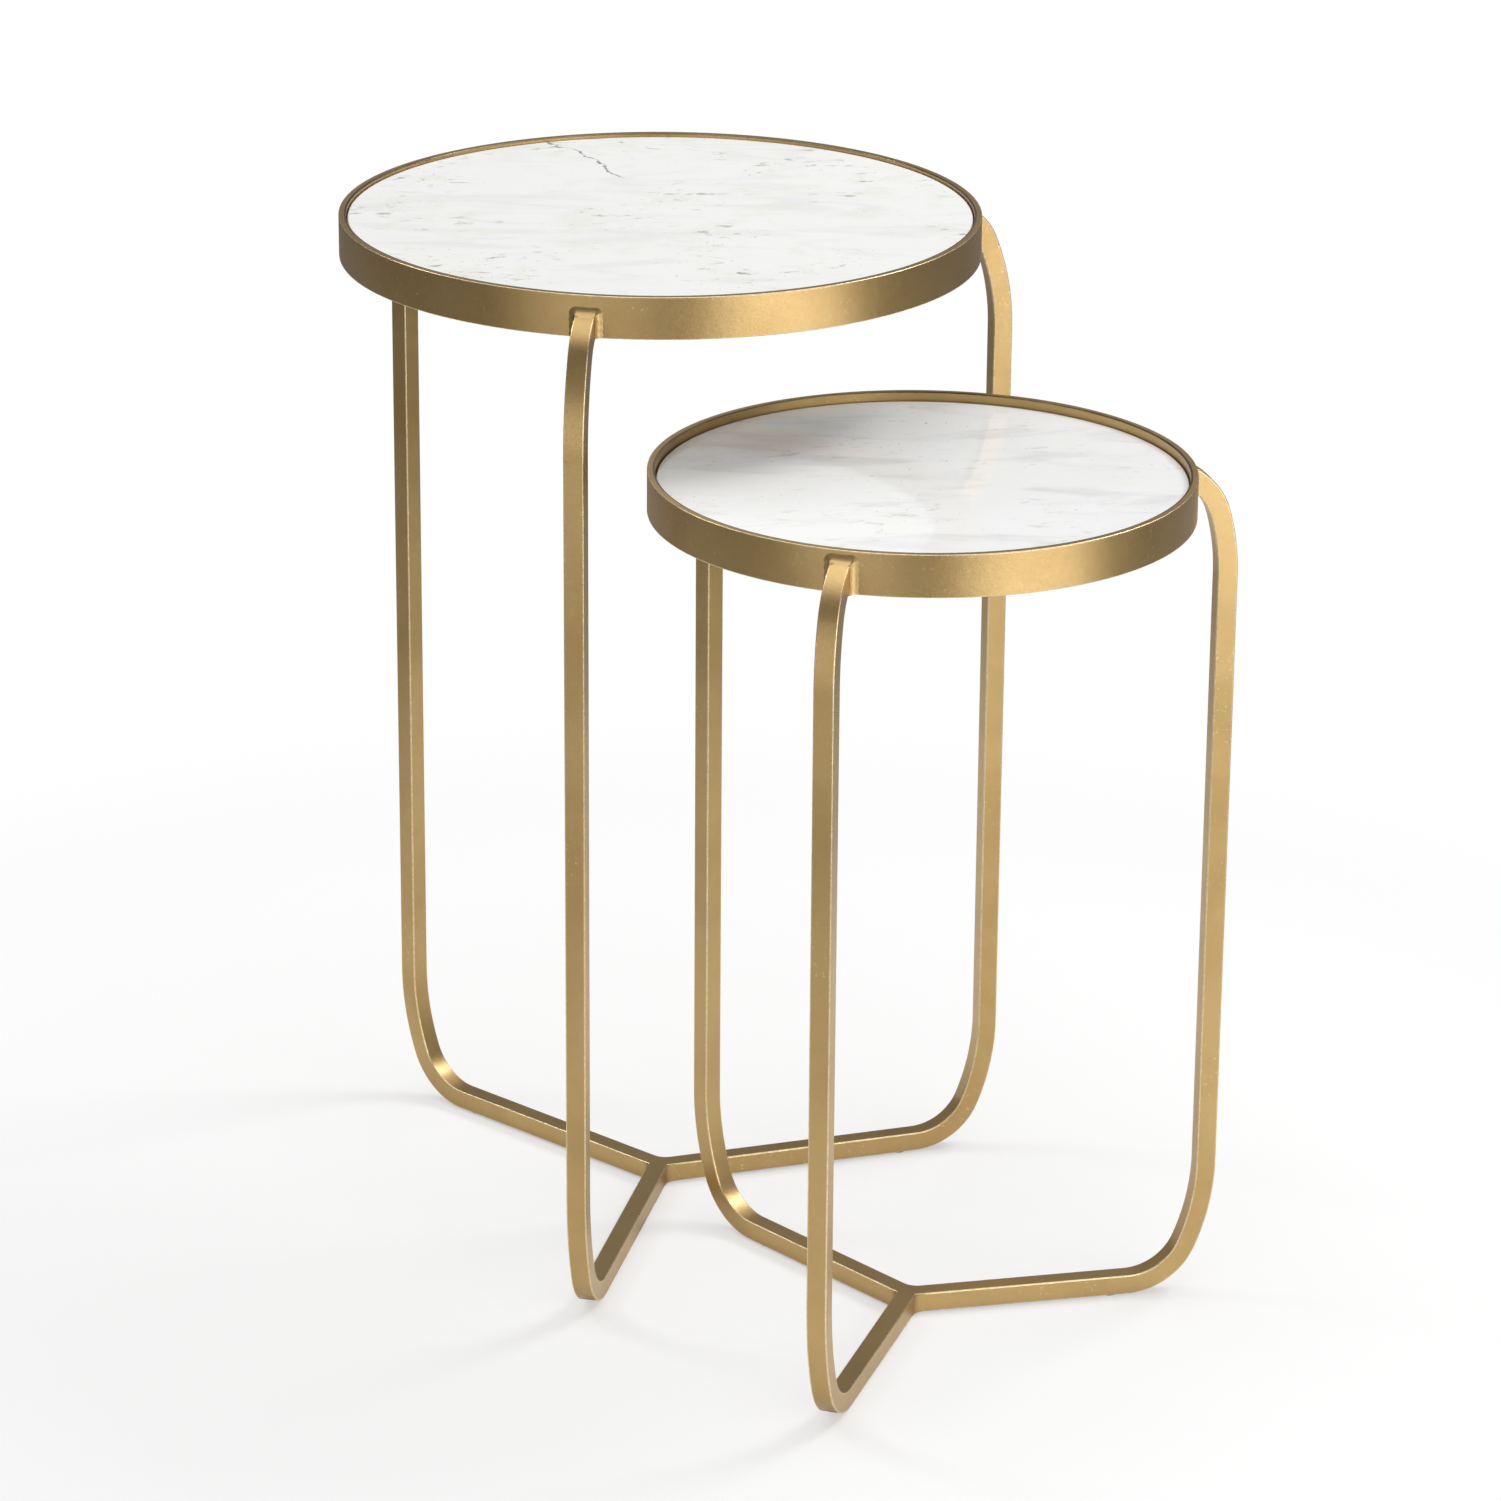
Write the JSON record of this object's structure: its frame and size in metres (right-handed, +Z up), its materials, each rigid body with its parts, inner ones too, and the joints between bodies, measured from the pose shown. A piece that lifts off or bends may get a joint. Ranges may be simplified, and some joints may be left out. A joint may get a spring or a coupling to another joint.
{
  "type": "nesting tables",
  "caption": "Round nesting tables: white marble discs set in gold flat-bar hoops on bent square-bar legs that meet in a Y on the floor.",
  "frame": {"origin": "on the floor under the middle of the large table's Y of floor arms, on the large table's axis", "axes": "+Z up; -Y is the way the small table pulls out, between the large table's two front legs; +X is to the right of someone who stands in front and pulls"},
  "size_m": [0.4086, 0.6204, 0.635],
  "materials": {
    "gold_iron": "satin",
    "white_marble": "gloss",
    "bumper_rubber": "matte",
    "glide_rubber": "matte"
  },
  "bodies": {
    "large_frame": {"large_hoop": "gold_iron", "large_ledge": "gold_iron", "large_ledge_tacks": "gold_iron", "large_leg_rear": "gold_iron", "large_leg_front_left": "gold_iron", "large_leg_front_right": "gold_iron", "large_leg_welds": "gold_iron", "large_hub_weld": "gold_iron", "large_bumpers": "bumper_rubber", "large_glides": "glide_rubber"},
    "large_top": {"large_stone_top": "white_marble"},
    "small_frame": {"small_hoop": "gold_iron", "small_ledge": "gold_iron", "small_ledge_tacks": "gold_iron", "small_leg_rear": "gold_iron", "small_leg_front_left": "gold_iron", "small_leg_front_right": "gold_iron", "small_leg_welds": "gold_iron", "small_hub_weld": "gold_iron", "small_bumpers": "bumper_rubber", "small_glides": "glide_rubber"},
    "small_top": {"small_stone_top": "white_marble"}
  },
  "joints": [
    {"name": "nest_slide", "type": "slide", "parent": "large_frame", "child": "small_frame", "axis": [0, -1, 0], "range_m": [-0.026, 0.24]},
    {"name": "large_top_lift", "type": "slide", "parent": "large_frame", "child": "large_top", "axis": [0, 0, 1], "range_m": [0, 0.05]},
    {"name": "small_top_lift", "type": "slide", "parent": "small_frame", "child": "small_top", "axis": [0, 0, 1], "range_m": [0, 0.05]}
  ]
}
